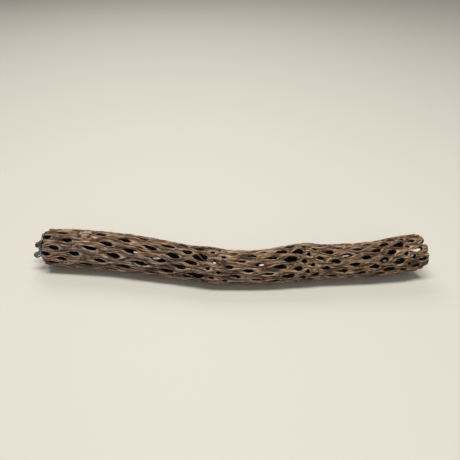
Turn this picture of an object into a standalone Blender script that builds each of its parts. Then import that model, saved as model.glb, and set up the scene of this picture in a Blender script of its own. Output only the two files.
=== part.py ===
"""A perch made from one hollow length of cholla cactus skeleton, with its screw fitting.

The log lies on its side along X. Its wall is a net of woody strands round lens-shaped holes, which
follow one spiral: each hole is a golden angle round from the one before it. At the left end a wooden
plug holds a bolt with two washers and a wing nut, which grip a wire between the washers.

Lengths are in millimetres and angles in degrees. MM turns the lengths into Blender's metres.
"""
import math

import bmesh
import bpy
import numpy as np
from mathutils import Matrix, Vector

MM = 0.001
SEED = 41

# The log: its axis as x, y, z and its outer radius there
AXIS = (
    (-205, 13.5, 21.4, 18.2), (-188, 11.4, 20.9, 18.6), (-160, 9.5, 20.3, 19.6), (-122, 5.8, 19.6, 19.4),
    (-80, -1.8, 18.9, 18.9), (-59, -6.6, 18.2, 17.8), (-38, -11.0, 17.8, 17.6), (-20, -14.5, 18.0, 18.1),
    (1, -16.8, 17.4, 16.8), (34, -16.7, 17.5, 16.8), (52, -14.6, 18.0, 17.7), (72, -11.4, 18.8, 18.8),
    (92, -10.2, 18.5, 17.6), (120, -9.2, 18.9, 17.1), (148, -6.6, 19.8, 17.6), (172, -2.4, 21.2, 18.6),
    (195, 2.0, 22.3, 17.8), (215, 6.0, 23.5, 17.5),
)
START_X = -198.5
LEFT_END = 15
RIGHT_END = 395
BORE_RADIUS = 12.0
REST_CUT = 0.55

# The holes: how far along the log certain holes of the spiral lie, counted from hole 0
GOLDEN_ANGLE = 180 * (3 - math.sqrt(5))
FIRST_ANGLE = 29
HOLE_STATIONS = (
    (-96, -57), (-43, 15), (-26, 38), (-8, 73.5), (0, 88.4), (26, 143.6), (47, 173.8), (55, 183.2),
    (63, 188.3), (89, 219.6), (118, 259), (131, 272.7), (144, 281.1), (165, 304.4), (194, 344.5),
    (212, 364.8), (220, 372.2), (233, 379), (241, 386.8), (305, 440),
)
ANGLE_DRIFT = (
    (15, 6), (50, 4), (80, 0.5), (180, 0.5), (220, 1.5), (260, 1), (305, 2.5), (345, 3.5), (385, 3),
)
ANGLE_LEAN = 4

# Each size of hole along the log: place, half length, half height, slant
HOLE_SIZES = (
    (15, 6.0, 2.3, -4), (50, 6.8, 2.5, -6), (150, 6.8, 2.6, -6), (168, 6.4, 3.0, -4), (177, 4.4, 2.7, -4),
    (186, 2.2, 2.0, 0), (196, 2.6, 1.9, -4), (212, 4.4, 1.9, -5), (240, 5.2, 1.9, -3), (256, 6.3, 2.6, -2),
    (267, 5.6, 2.9, -2), (274, 2.5, 2.1, 0), (290, 3.9, 2.0, -2), (310, 5.3, 2.1, -2), (345, 5.2, 2.2, 0),
    (358, 6.0, 2.8, 2), (366, 5.4, 3.0, 3), (373, 2.3, 2.0, 4), (384, 3.6, 2.1, 5), (400, 4.4, 2.2, 6),
)
SIZE_SCATTER = 0.14
SLANT_SCATTER = 3
TIP_SHARPNESS = 0.55
HEIGHT_GAIN = 1.12
CORNER_WAVE = 0.35
STRAND_WAVE = 0.2
CORNER_SCATTER = (0.5, 1.2)
EDGE_DEPTH = 0.9
TIP_DEPTH = 0.9

# Single holes that differ: number, length and height as multiples, shift along, turn round the log
ODD_HOLES = (
    (-34, 0.85, 1.0, -0.5, 0), (-26, 1.0, 1.15, 0, 5), (-18, 1.0, 1.5, 1.5, 4), (-13, 1.1, 1.0, -1.0, 1),
    (3, 1.0, 1.0, 1.5, 0), (0, 1.0, 1.15, 0, 0), (21, 1.1, 1.1, 0, 0), (29, 1.1, 1.0, -0.5, 0),
    (42, 0.9, 1.0, -0.5, -1), (50, 1.7, 1.8, -2.6, -2), (47, 1.15, 1.6, 0.5, -11), (55, 0.8, 0.85, 0, -2),
    (76, 1.2, 1.1, 0, -1), (92, 1.0, 1.1, 0, 2), (113, 1.1, 1.1, 0, 1), (118, 1.0, 1.2, 0.5, 0),
    (126, 1.05, 1.35, 0, 1), (115, 1.1, 1.1, 0.5, -1), (123, 0.85, 0.95, 1.0, 0), (149, 1.3, 1.1, -1.5, 0),
    (157, 1.2, 1.0, -0.5, 0), (173, 0.9, 1.0, 0, -1), (183, 1.1, 1.2, -1.0, 0), (199, 1.1, 1.45, -1.0, -1),
    (202, 0.85, 0.9, 0, 0), (204, 0.85, 1.15, -1.5, -3), (207, 0.85, 0.8, -1.0, -1), (212, 1.0, 1.15, 0, 0),
    (215, 1.05, 1.25, 0, 0), (228, 0.75, 0.75, 0, 0), (238, 1.2, 1.0, -2.0, 2), (241, 1.0, 1.0, -3.2, 0),
    (246, 1.15, 1.0, -2.0, 3),
    (4, 0.4, 0.6, 3.0, 0), (12, 1.0, 0.7, 7.0, -5), (59, 1.0, 0.8, -1.0, -7), (93, 0.6, 0.8, 10.5, 0),
    (174, 1.1, 0.9, 6.5, 5), (250, 1.4, 1.5, 0, 8), (127, 0.35, 0.4, -5.0, 4), (169, 0.35, 0.4, 0, 5),
    (38, 0.4, 0.4, 0, -2), (114, 0.4, 0.5, -2.0, -4), (33, 0.5, 0.5, 0, 2), (216, 0.5, 0.5, -1.5, -3),
    (211, 0.7, 0.7, 0, 0), (198, 0.7, 0.7, 0, 0), (-9, 0.7, 0.7, 0, 0), (41, 0.5, 0.6, 0, 0),
    (253, 0.5, 0.5, 2.5, 4), (-17, 0.6, 0.6, 0, -4), (25, 0.8, 0.7, 0, 3), (161, 0.8, 0.8, 1.0, -2),
    (80, 0.85, 0.85, 0, 0),
)

# The hole that a knot has closed, and how far the knot lies below the surface
KNOT = -18
KNOT_DEPTH = 0.6

# Neighbours on the spiral: the hole so many further on, and its whole turns round the log
UP_STEP, UP_TURNS = 8, 3
DOWN_STEP, DOWN_TURNS = 13, 5
NEXT_STEP, NEXT_TURNS = UP_STEP + DOWN_STEP, UP_TURNS + DOWN_TURNS

# The fitting, along the bolt from the log's end
GAP = 0.3
BOLT_RISE = 1.5
BOLT_RADIUS = 3.0
BOLT_OUT = 14.5
BOLT_IN = 24.0
BOLT_CHAMFER = 0.5
PLUG_RADIUS = 11.4
PLUG_LENGTH = 28.0
WASHER_RADIUS = 15.0
WASHER_THICK = 1.5
NUT_HEIGHT = 6.4
NUT_RADII = (6.2, 4.9)
NUT_CHAMFER = 0.6
WING_SPAN = 15.2
WING_THICK = 2.2
WING_TILT = -18
EAR_RADIUS = 3.4
EAR_RISE = 4.9
WING_FOOT = (4.2, 0.8)
WING_TOP = (3.8, 5.8)
PLUG_CHAMFER = 0.6
WASHER_CHAMFER = 0.25
ROUND_SIDES = 40
SHANK_SIDES = 24


def smooth(x, table, column):
    """Read one column of a table at x, along a smooth curve through its rows."""
    rows = np.array(table, float)
    xs, ys = rows[:, 0], rows[:, column]
    slopes = np.gradient(ys, xs)
    x = np.clip(x, xs[0], xs[-1])
    k = np.clip(np.searchsorted(xs, x) - 1, 0, len(xs) - 2)
    width = xs[k + 1] - xs[k]
    t = (x - xs[k]) / width
    rise = ys[k + 1] - ys[k]
    start = width * slopes[k]
    finish = width * slopes[k + 1]
    return ys[k] + t * (start + t * (3 * rise - 2 * start - finish + t * (start + finish - 2 * rise)))


class Log:
    """The log's bent axis, measured by the distance s along it."""

    def __init__(self):
        xs = np.arange(AXIS[0][0], AXIS[-1][0] + 0.5, 0.5)
        self.points = np.stack([xs, smooth(xs, AXIS, 1), smooth(xs, AXIS, 2)], axis=1)
        self.radii = smooth(xs, AXIS, 3)
        steps = np.linalg.norm(np.diff(self.points, axis=0), axis=1)
        length = np.concatenate([[0], np.cumsum(steps)])
        self.s = length - np.interp(START_X, xs, length)
        self.tangents = np.gradient(self.points, self.s, axis=0)

    def read(self, values, s):
        return np.stack([np.interp(s, self.s, values[:, i]) for i in range(3)], axis=-1)

    def radius(self, s):
        return np.interp(s, self.s, self.radii)

    def frame(self, s):
        """The middle of the log at s, and the directions along it, to its front and to its top."""
        along = self.read(self.tangents, s)
        along /= np.linalg.norm(along, axis=-1, keepdims=True)
        front = np.cross(along, (0, 0, 1))
        front /= np.linalg.norm(front, axis=-1, keepdims=True)
        return self.read(self.points, s), along, front, np.cross(front, along)

    def bend(self, straight):
        """Carry points of the straight log (x along it, -y to its front, z up) onto the bent one."""
        middle, _, front, top = self.frame(straight[:, 0])
        return middle - straight[:, 1:2] * front + straight[:, 2:3] * top


class Net:
    """The spiral of holes, and the strands between them."""

    def __init__(self, log):
        self.log = log
        self.first = HOLE_STATIONS[0][0]
        numbers = np.arange(self.first, HOLE_STATIONS[-1][0] + 1)
        rng = np.random.default_rng(SEED)
        self.scatter = rng.uniform(-1, 1, (len(numbers), 6))
        place = smooth(numbers, HOLE_STATIONS, 1)
        kernel = np.array([1, 2, 3, 2, 1]) / 9
        self.place = np.convolve(np.pad(place, 2, mode="reflect", reflect_type="odd"), kernel, mode="valid")
        drift = np.interp(self.place, *np.array(ANGLE_DRIFT, float).T)
        self.angle = FIRST_ANGLE + GOLDEN_ANGLE * numbers + drift
        self.angle -= ANGLE_LEAN * (1 - np.sin(np.radians(self.angle)))
        self.size = np.ones((len(numbers), 2))
        for number, length, height, along, turn in ODD_HOLES:
            k = number - self.first
            self.size[k] = (length, height)
            self.place[k] += along
            self.angle[k] += turn

    def holes(self):
        """The holes whose four corners lie on the net."""
        return range(self.first + NEXT_STEP, self.first + len(self.place) - NEXT_STEP)

    def hole(self, number, turns=0):
        k = number - self.first
        return np.array([self.place[k], self.angle[k] - 360 * turns])

    def corner(self, number):
        """The crossing of strands between four neighbouring holes."""
        around = ((0, 0), (UP_STEP, UP_TURNS), (DOWN_STEP, DOWN_TURNS), (NEXT_STEP, NEXT_TURNS))
        middle = np.mean([self.hole(number + step, turns) for step, turns in around], axis=0)
        return middle + self.scatter[number - self.first, :2] * CORNER_SCATTER


def cell_ring(net, number, short, long):
    """The keys and places of the points round one hole's cell, anticlockwise from its left corner."""
    sides = (
        (number - NEXT_STEP, DOWN_STEP, long, NEXT_TURNS, False),
        (number - UP_STEP, UP_STEP, short, UP_TURNS, False),
        (number - DOWN_STEP, DOWN_STEP, long, DOWN_TURNS, True),
        (number - NEXT_STEP, UP_STEP, short, NEXT_TURNS, True),
    )
    ring = []
    for start, step, count, turns, backwards in sides:
        a = net.corner(start) + (0, 360 * turns)
        b = net.corner(start + step) + (0, 360 * (turns - (DOWN_TURNS if step == DOWN_STEP else UP_TURNS)))
        order = range(count, 0, -1) if backwards else range(count)
        for i in order:
            key = (start, step, i)
            if i == 0:
                key = (start, 0, 0)
            elif i == count:
                key = (start + step, 0, 0)
            ring.append((key, a + (b - a) * i / count))
    return ring


def hole_outline(net, number, angles):
    """The teardrop edge of one hole, pointed at the left, at the given angles round it."""
    middle = net.hole(number)
    half_length, half_height, slant = (smooth(middle[0], HOLE_SIZES, i) for i in (1, 2, 3))
    scatter = net.scatter[number - net.first, 2:]
    length, height = net.size[number - net.first]
    half_length *= length * (1 + SIZE_SCATTER * scatter[0])
    half_height *= height * (1 + SIZE_SCATTER * scatter[1])
    t = np.radians(angles)
    along = half_length * np.cos(t)
    up = half_height * HEIGHT_GAIN * np.sin(t) * np.cos(t / 2) ** TIP_SHARPNESS
    slope = math.tan(math.radians(slant + SLANT_SCATTER * scatter[2]))
    turn = math.degrees(1) / net.log.radius(middle[0])
    return np.stack([middle[0] + along, middle[1] + (up + slope * along) * turn], axis=1)


def straight_point(s, radius, angle):
    turn = math.radians(angle)
    return (s, -radius * math.cos(turn), radius * math.sin(turn))


def strip(bm, ring_a, ring_b):
    """Join two rings of points with a band of faces."""
    for i in range(len(ring_a)):
        j = (i + 1) % len(ring_a)
        bm.faces.new((ring_a[i], ring_a[j], ring_b[j], ring_b[i]))


def fan(bm, ring, middle):
    """Close a ring of points with faces that meet at one middle point."""
    tip = bm.verts.new(middle)
    for i in range(len(ring)):
        bm.faces.new((ring[i], ring[(i + 1) % len(ring)], tip))


def close_cut(bm, at, normal):
    """Cut away what lies beyond a plane and close the cut with flat faces."""
    whole = bm.verts[:] + bm.edges[:] + bm.faces[:]
    bmesh.ops.bisect_plane(bm, geom=whole, plane_co=at, plane_no=normal, clear_outer=True, dist=1e-5)
    rims = [edge for edge in bm.edges if edge.is_boundary]
    caps = bmesh.ops.edgeloop_fill(bm, edges=rims)["faces"]
    bmesh.ops.triangulate(bm, faces=caps)


def wood_mesh(log):
    """The pierced wall of the log as one closed mesh."""
    net = Net(log)
    bm = bmesh.new()
    shared = {}

    def shared_point(key, place, inner):
        name = (key, inner)
        if name not in shared:
            s, angle = place
            wave = net.scatter[key[0] - net.first, 5] * (CORNER_WAVE if key[1] == 0 else STRAND_WAVE)
            radius = BORE_RADIUS if inner else log.radius(s) + wave
            shared[name] = bm.verts.new(straight_point(s, radius, angle))
        return shared[name]

    # The hole's edge has its points where the cell's ring has its own, from the left tip round below
    angles = np.array([-180, -125, -70, 0, 55, 110])
    for number in net.holes():
        ring = cell_ring(net, number, 1, 2)
        crest = [shared_point(key, place, False) for key, place in ring]
        bore = [shared_point(key, place, True) for key, place in ring]
        if number == KNOT:
            s, angle = net.hole(number)
            fan(bm, crest, straight_point(s, log.radius(s) - KNOT_DEPTH, angle))
            fan(bm, bore[::-1], straight_point(s, BORE_RADIUS, angle))
            continue
        outline = hole_outline(net, number, angles)
        lip = []
        throat = []
        for (s, angle), turn in zip(outline, angles):
            depth = EDGE_DEPTH + TIP_DEPTH * max(0, -math.cos(math.radians(turn)))
            lip.append(bm.verts.new(straight_point(s, log.radius(s) - depth, angle)))
            throat.append(bm.verts.new(straight_point(s, BORE_RADIUS, angle)))
        strip(bm, crest, lip)
        strip(bm, lip, throat)
        strip(bm, throat, bore)

    close_cut(bm, (LEFT_END, 0, 0), (-1, 0, 0))
    close_cut(bm, (RIGHT_END, 0, 0), (1, 0, 0))
    bent = log.bend(np.array([vert.co[:] for vert in bm.verts]))
    for vert, place in zip(bm.verts, bent):
        vert.co = place
    close_cut(bm, (0, 0, REST_CUT), (0, 0, -1))
    bmesh.ops.scale(bm, vec=(MM, MM, MM), verts=bm.verts)
    bmesh.ops.recalc_face_normals(bm, faces=bm.faces)
    mesh = bpy.data.meshes.new("cholla_wood")
    bm.to_mesh(mesh)
    bm.free()
    return mesh


def material(name, colour, roughness, metallic=0.0):
    """A plain Principled material."""
    made = bpy.data.materials.new(name)
    made.use_nodes = True
    shader = made.node_tree.nodes["Principled BSDF"]
    shader.inputs["Base Color"].default_value = (*colour, 1)
    shader.inputs["Roughness"].default_value = roughness
    shader.inputs["Metallic"].default_value = metallic
    return made


def add_object(name, mesh, collection, parent, matrix=None):
    made = bpy.data.objects.new(name, mesh)
    collection.objects.link(made)
    made.parent = parent
    if matrix is not None:
        made.matrix_local = matrix
    return made


def turned(name, profile, collection, parent, matrix):
    """A body turned about its own Z axis, from a closed profile of (radius, height)."""
    bm = bmesh.new()
    verts = [bm.verts.new((radius * MM, 0, height * MM)) for radius, height in profile]
    for i in range(len(verts)):
        bm.edges.new((verts[i], verts[(i + 1) % len(verts)]))
    mesh = bpy.data.meshes.new(name)
    bm.to_mesh(mesh)
    bm.free()
    made = add_object(name, mesh, collection, parent, matrix)
    screw = made.modifiers.new("turn", "SCREW")
    screw.steps = ROUND_SIDES
    screw.render_steps = ROUND_SIDES
    screw.use_merge_vertices = True
    screw.merge_threshold = 0.00005
    screw.use_normal_calculate = True
    return made


def ring_profile(inner, outer, low, high, chamfer):
    """A washer's or sleeve's section with its outer corners bevelled."""
    return (
        (outer, high - chamfer), (outer, low + chamfer), (outer - chamfer, low),
        (inner, low), (inner, high), (outer - chamfer, high),
    )


def bolt_mesh():
    """The bolt's shank, chamfered at its free end."""
    bm = bmesh.new()
    length = BOLT_OUT + BOLT_IN
    middle = (BOLT_OUT - BOLT_IN) / 2
    bmesh.ops.create_cone(
        bm, cap_ends=True, segments=SHANK_SIDES, radius1=BOLT_RADIUS * MM, radius2=BOLT_RADIUS * MM,
        depth=length * MM, matrix=Matrix.Translation((0, 0, middle * MM)),
    )
    rims = [edge for edge in bm.edges if edge.verts[0].co.z == edge.verts[1].co.z]
    bmesh.ops.bevel(bm, geom=rims, offset=BOLT_CHAMFER * MM, segments=1, affect="EDGES")
    mesh = bpy.data.meshes.new("bolt")
    bm.to_mesh(mesh)
    bm.free()
    return mesh


def wing_outline():
    """One wing, seen flat: out from the hub, up and round its ear, and back."""
    middle = WING_SPAN - EAR_RADIUS
    points = [WING_FOOT]
    for degrees in range(-90, 181, 30):
        turn = math.radians(degrees)
        points.append((middle + EAR_RADIUS * math.cos(turn), EAR_RISE + EAR_RADIUS * math.sin(turn)))
    points.append(WING_TOP)
    return points


def wing_nut(collection, cutters, parent, matrix):
    """The nut's hub with its two wings joined on and the bolt's hole cut through."""
    low = 2 * GAP + 2 * WASHER_THICK + GAP
    place = matrix @ Matrix.Translation((0, 0, low * MM))
    hole = BOLT_RADIUS + GAP
    profile = (
        (NUT_RADII[1], NUT_HEIGHT), (NUT_RADII[0], NUT_CHAMFER), (NUT_RADII[0] - NUT_CHAMFER, 0),
        (hole, 0), (hole, NUT_HEIGHT),
    )
    nut = turned("wing_nut", profile, collection, parent, place)
    for side in (0, 180):
        curve = bpy.data.curves.new("wing", "CURVE")
        curve.dimensions = "2D"
        curve.fill_mode = "BOTH"
        curve.extrude = WING_THICK / 2 * MM
        outline = wing_outline()
        spline = curve.splines.new("POLY")
        spline.points.add(len(outline) - 1)
        for point, (out, up) in zip(spline.points, outline):
            point.co = (out * MM, up * MM, 0, 1)
        spline.use_cyclic_u = True
        flat = bpy.data.objects.new("wing_curve", curve)
        cutters.objects.link(flat)
        bpy.context.view_layer.update()
        mesh = bpy.data.meshes.new_from_object(flat.evaluated_get(bpy.context.evaluated_depsgraph_get()))
        bm = bmesh.new()
        bm.from_mesh(mesh)
        bmesh.ops.remove_doubles(bm, verts=bm.verts, dist=0.00001)
        bm.to_mesh(mesh)
        bm.free()
        bpy.data.objects.remove(flat)
        stand = Matrix.Rotation(math.radians(90), 4, "X")
        around = Matrix.Rotation(math.radians(side), 4, "Z")
        wing = add_object("wing_%d" % side, mesh, cutters, parent, place @ around @ stand)
        wing.hide_render = True
        wing.display_type = "WIRE"
        join = nut.modifiers.new("join_%d" % side, "BOOLEAN")
        join.operation = "UNION"
        join.object = wing
    return nut


def main():
    for old in list(bpy.data.objects):
        bpy.data.objects.remove(old)
    parts = bpy.data.collections.new("cholla_perch")
    cutters = bpy.data.collections.new("cutters")
    bpy.context.scene.collection.children.link(parts)
    bpy.context.scene.collection.children.link(cutters)
    origin = bpy.data.objects.new("perch_origin", None)
    parts.objects.link(origin)
    log = Log()

    wood = add_object("cholla_wood", wood_mesh(log), parts, origin)
    wood.data.materials.append(material("cholla_wood", (0.23, 0.15, 0.10), 0.85))
    wood.data.shade_smooth()
    wood.data.set_sharp_from_angle(angle=math.radians(40))

    # The fitting's frame: z out of the log's left end, x towards the front
    middle, along, front, top = log.frame(np.array([float(LEFT_END)]))
    outward = Vector(-along[0])
    base = Vector(middle[0]) * MM
    tilt = math.radians(WING_TILT)
    side = Vector(front[0]) * math.cos(tilt) + Vector(top[0]) * math.sin(tilt)
    third = outward.cross(side)
    turn = Matrix((side, third, outward)).transposed().to_4x4()
    plug_frame = Matrix.Translation(base) @ turn
    bolt_frame = Matrix.Translation(base + Vector(top[0]) * BOLT_RISE * MM) @ turn

    hole = BOLT_RADIUS + GAP
    plug_profile = (
        (PLUG_RADIUS, 0), (PLUG_RADIUS, PLUG_CHAMFER - PLUG_LENGTH),
        (PLUG_RADIUS - PLUG_CHAMFER, -PLUG_LENGTH), (0, -PLUG_LENGTH), (0, 0),
    )
    plug = turned("end_plug", plug_profile, parts, origin, plug_frame)
    plug.data.materials.append(material("plug_wood", (0.16, 0.10, 0.07), 0.8))
    drill_mesh = bpy.data.meshes.new("plug_hole")
    bm = bmesh.new()
    depth = BOLT_IN + GAP
    bmesh.ops.create_cone(
        bm, cap_ends=True, segments=SHANK_SIDES, radius1=hole * MM, radius2=hole * MM,
        depth=2 * depth * MM,
    )
    bm.to_mesh(drill_mesh)
    bm.free()
    drill = add_object("plug_hole", drill_mesh, cutters, origin, bolt_frame)
    drill.hide_render = True
    drill.display_type = "WIRE"
    cut = plug.modifiers.new("hole", "BOOLEAN")
    cut.operation = "DIFFERENCE"
    cut.object = drill

    bolt = add_object("bolt", bolt_mesh(), parts, origin, bolt_frame)
    steel = material("zinc_steel", (0.42, 0.41, 0.40), 0.38, 1.0)
    bolt.data.materials.append(steel)
    for name, low in (("washer_inner", GAP), ("washer_outer", 2 * GAP + WASHER_THICK)):
        profile = ring_profile(hole, WASHER_RADIUS, low, low + WASHER_THICK, WASHER_CHAMFER)
        washer = turned(name, profile, parts, origin, bolt_frame)
        washer.data.materials.append(steel)
    nut = wing_nut(parts, cutters, origin, bolt_frame)
    nut.data.materials.append(steel)

    # The origin is the middle of the whole object's box, on the surface that it lies on
    bpy.context.view_layer.update()
    graph = bpy.context.evaluated_depsgraph_get()
    places = []
    for made in parts.objects:
        if made.type == "MESH":
            seen = made.evaluated_get(graph)
            places += [seen.matrix_world @ vert.co for vert in seen.data.vertices]
    places = np.array(places)
    low, high = places.min(axis=0), places.max(axis=0)
    origin.location = (-(low[0] + high[0]) / 2, -(low[1] + high[1]) / 2, -low[2])
    bpy.context.view_layer.update()


main()
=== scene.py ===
"""The looks of a perch made from one hollow length of cholla cactus skeleton.

The log is meshed again on the spiral that its solid follows, with rounded strands, furrows and torn
fibres. The fitting at its left end gets a real thread, a cast wing nut and pressed washers.

Lengths are in millimetres and angles in degrees. MM turns the lengths into Blender's metres.
"""
import math

import bmesh
import bpy
import numpy as np
from mathutils import Matrix, Vector, noise


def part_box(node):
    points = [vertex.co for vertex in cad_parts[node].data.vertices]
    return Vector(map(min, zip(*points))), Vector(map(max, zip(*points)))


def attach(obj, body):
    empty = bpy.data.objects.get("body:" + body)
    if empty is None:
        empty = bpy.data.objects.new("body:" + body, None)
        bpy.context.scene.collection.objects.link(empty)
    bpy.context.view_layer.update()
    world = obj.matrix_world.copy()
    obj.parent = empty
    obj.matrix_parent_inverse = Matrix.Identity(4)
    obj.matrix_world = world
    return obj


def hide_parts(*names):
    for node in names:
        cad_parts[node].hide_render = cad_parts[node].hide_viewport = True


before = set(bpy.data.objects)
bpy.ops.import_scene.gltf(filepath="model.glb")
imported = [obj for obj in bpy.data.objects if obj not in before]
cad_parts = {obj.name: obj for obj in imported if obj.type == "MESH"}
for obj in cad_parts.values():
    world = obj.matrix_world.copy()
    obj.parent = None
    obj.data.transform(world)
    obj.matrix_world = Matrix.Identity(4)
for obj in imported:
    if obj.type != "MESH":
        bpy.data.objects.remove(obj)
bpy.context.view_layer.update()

MM = 0.001
SEED = 41

# The log: its axis as x, y, z and its outer radius there, as in the solid
AXIS = (
    (-205, 13.5, 21.4, 18.2), (-188, 11.4, 20.9, 18.6), (-160, 9.5, 20.3, 19.6), (-122, 5.8, 19.6, 19.4),
    (-80, -1.8, 18.9, 18.9), (-59, -6.6, 18.2, 17.8), (-38, -11.0, 17.8, 17.6), (-20, -14.5, 18.0, 18.1),
    (1, -16.8, 17.4, 16.8), (34, -16.7, 17.5, 16.8), (52, -14.6, 18.0, 17.7), (72, -11.4, 18.8, 18.8),
    (92, -10.2, 18.5, 17.6), (120, -9.2, 18.9, 17.1), (148, -6.6, 19.8, 17.6), (172, -2.4, 21.2, 18.6),
    (195, 2.0, 22.3, 17.8), (215, 6.0, 23.5, 17.5),
)
AXIS_STEP = 0.5

# Where distances along the log begin, where its two ends lie, and the radius of its bore
START_X = -198.5
LEFT_END = 15
RIGHT_END = 395
END_MARGIN = 1
BORE_RADIUS = 12.0

# The holes: how far along the log certain holes of the spiral lie, counted from hole 0
GOLDEN_ANGLE = 180 * (3 - math.sqrt(5))
FIRST_ANGLE = 29
HOLE_STATIONS = (
    (-96, -57), (-43, 15), (-26, 38), (-8, 73.5), (0, 88.4), (26, 143.6), (47, 173.8), (55, 183.2),
    (63, 188.3), (89, 219.6), (118, 259), (131, 272.7), (144, 281.1), (165, 304.4), (194, 344.5),
    (212, 364.8), (220, 372.2), (233, 379), (241, 386.8), (305, 440),
)
STATION_SMOOTHING = (1, 2, 3, 2, 1)

# How far the spiral's angles drift along the log, and how far they fall behind away from its top
ANGLE_DRIFT = (
    (15, 6), (50, 4), (80, 0.5), (180, 0.5), (220, 1.5), (260, 1), (305, 2.5), (345, 3.5), (385, 3),
)
ANGLE_LEAN = 4

# Each size of hole along the log: place, half length, half height, slant
HOLE_SIZES = (
    (15, 6.0, 2.3, -4), (50, 6.8, 2.5, -6), (150, 6.8, 2.6, -6), (168, 6.4, 3.0, -4), (177, 4.4, 2.7, -4),
    (186, 2.2, 2.0, 0), (196, 2.6, 1.9, -4), (212, 4.4, 1.9, -5), (240, 5.2, 1.9, -3), (256, 6.3, 2.6, -2),
    (267, 5.6, 2.9, -2), (274, 2.6, 2.2, 0), (290, 4.1, 2.2, -2), (310, 5.6, 2.3, -2), (345, 5.5, 2.5, 0),
    (358, 6.2, 3.0, 2), (366, 5.5, 3.1, 3), (373, 2.5, 2.1, 4), (384, 3.8, 2.3, 5), (400, 4.4, 2.3, 6),
)

# The form of a hole's edge, and how deep it lies below the crests of the strands
TIP_SHARPNESS = 0.55
HEIGHT_GAIN = 1.12
EDGE_DEPTH = 0.9

# Random draws for each hole: two for its corner, two for its size, one for its slant, one for its crests
DRAWS = 6
CORNER_DRAWS = 2
CREST_DRAW = 5
CORNER_SCATTER = (0.5, 1.2)
SIZE_SCATTER = 0.14
SLANT_SCATTER = 3
CORNER_WAVE = 0.35
STRAND_WAVE = 0.2

# Single holes that differ: number, length and height as multiples, shift along, turn round the log
ODD_HOLES = (
    (-34, 0.85, 1.0, -0.5, 0), (-26, 1.0, 1.15, 0, 5), (-18, 0.95, 1.5, 1.5, 7), (-13, 1.1, 1.0, -1.0, 1),
    (3, 1.0, 1.0, 1.5, 0), (0, 1.0, 1.15, 0, 0), (21, 1.1, 1.1, 0, 0), (29, 1.1, 1.0, -0.5, 0),
    (42, 0.95, 0.75, -0.5, -2), (50, 1.7, 1.7, -2.6, -2), (47, 1.45, 1.5, -0.7, -12),
    (55, 0.8, 0.85, 0, -2),
    (76, 1.2, 1.1, 0, -1), (92, 1.0, 1.1, 0, 2), (113, 1.1, 1.1, 0, 1), (118, 1.0, 1.2, 0.5, 0),
    (126, 1.05, 1.35, 0, 1), (115, 1.1, 1.1, 0.5, -1), (123, 0.85, 0.95, 1.0, 0), (149, 1.3, 1.1, -1.5, 0),
    (157, 1.2, 1.0, -0.5, 0), (173, 0.9, 1.0, 0, -1), (183, 1.1, 1.2, -1.0, 0), (199, 1.1, 1.45, -1.0, -1),
    (202, 0.85, 0.9, 0, 0), (204, 0.85, 1.15, -1.5, -3), (207, 0.85, 0.8, -1.0, -1), (212, 1.0, 1.15, 0, 0),
    (215, 1.05, 1.25, 0, 0), (228, 0.75, 0.75, 0, 0), (238, 1.2, 1.0, -2.0, 2), (241, 1.55, 1.0, -1.8, 0),
    (246, 1.0, 0.8, -3.0, 0),
    (4, 0.4, 0.6, 3.0, 0), (12, 1.0, 0.7, 7.0, -5), (59, 1.0, 0.8, -1.0, -7), (93, 0.6, 0.8, 10.5, 0),
    (174, 1.1, 0.9, 6.5, 5), (250, 1.4, 1.5, 0, 8), (127, 0.35, 0.3, -5.0, 14), (169, 0.35, 0.4, 0, 5),
    (38, 0.4, 0.4, 0, -2), (114, 0.4, 0.5, -2.0, -4), (33, 0.5, 0.5, 0, 2), (216, 0.5, 0.5, -1.5, -3),
    (211, 0.7, 0.7, 0, 0), (198, 0.5, 0.5, -1.5, 2), (-9, 0.7, 0.7, 0, 0), (41, 0.5, 0.6, 0, 0),
    (253, 0.5, 0.5, 2.5, 4), (-17, 0.6, 0.6, 0, -4), (25, 0.8, 0.7, 0, 3), (161, 0.8, 0.8, 1.0, -2),
    (80, 0.85, 0.85, 0, 0), (-39, 0.75, 1.0, -3.5, 0), (-44, 0.4, 0.4, -1.5, 0), (88, 0.9, 0.85, 0, 3),
)

# How ragged the edges of the holes are: waves round a hole, and their size as a share of its height
RAGGED_WAVES = ((3, 0.10), (5, 0.09), (8, 0.06))
RAGGED_SHIFT = 9

# The hole that a knot has closed
KNOT = -18

# Neighbours on the spiral: the hole so many further on, and its whole turns round the log
UP_STEP, UP_TURNS = 8, 3
DOWN_STEP, DOWN_TURNS = 13, 5
NEXT_STEP, NEXT_TURNS = UP_STEP + DOWN_STEP, UP_TURNS + DOWN_TURNS

# Where the lower and the upper corner of a cell lie, as angles round its hole
LOWER_CORNER = -70
UPPER_CORNER = 110

# Pieces of a strand: how many at no spacing, how many more for each millimetre of it, the fewest, the most
UP_PIECES = (3, 1.3, 4, 6)
DOWN_PIECES = (4, 2.4, 5, 9)

# The fine mesh round each hole: bands from crest to lip, then rings down the wall as depth and size
OUTER_BANDS = 7
BAND_CROWDING = 0.8
LIP_ROUNDING = 2.4
LEFT_GROOVE = 0.9
RIGHT_GROOVE = 0.5
GROOVE_SHARPNESS = 6
WALL_RINGS = ((1.5, 0.98), (3.6, 0.93))
BORE_SCALE = 0.98
BORE_SAG = 0.2

# How near to a cut's plane a point counts as on it: while it is cut, and while the cut is closed
CUT_MERGE = 1e-5
CUT_NEAR = 1e-3

# The grain: its scale along the log, the outermost holes it ignores, how far beyond a hole it bends
GRAIN_STRETCH = 0.10
FLOW_MARGIN = 4
FLOW_REACH = 2.2
FLOW_CHUNK = 4000

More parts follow.
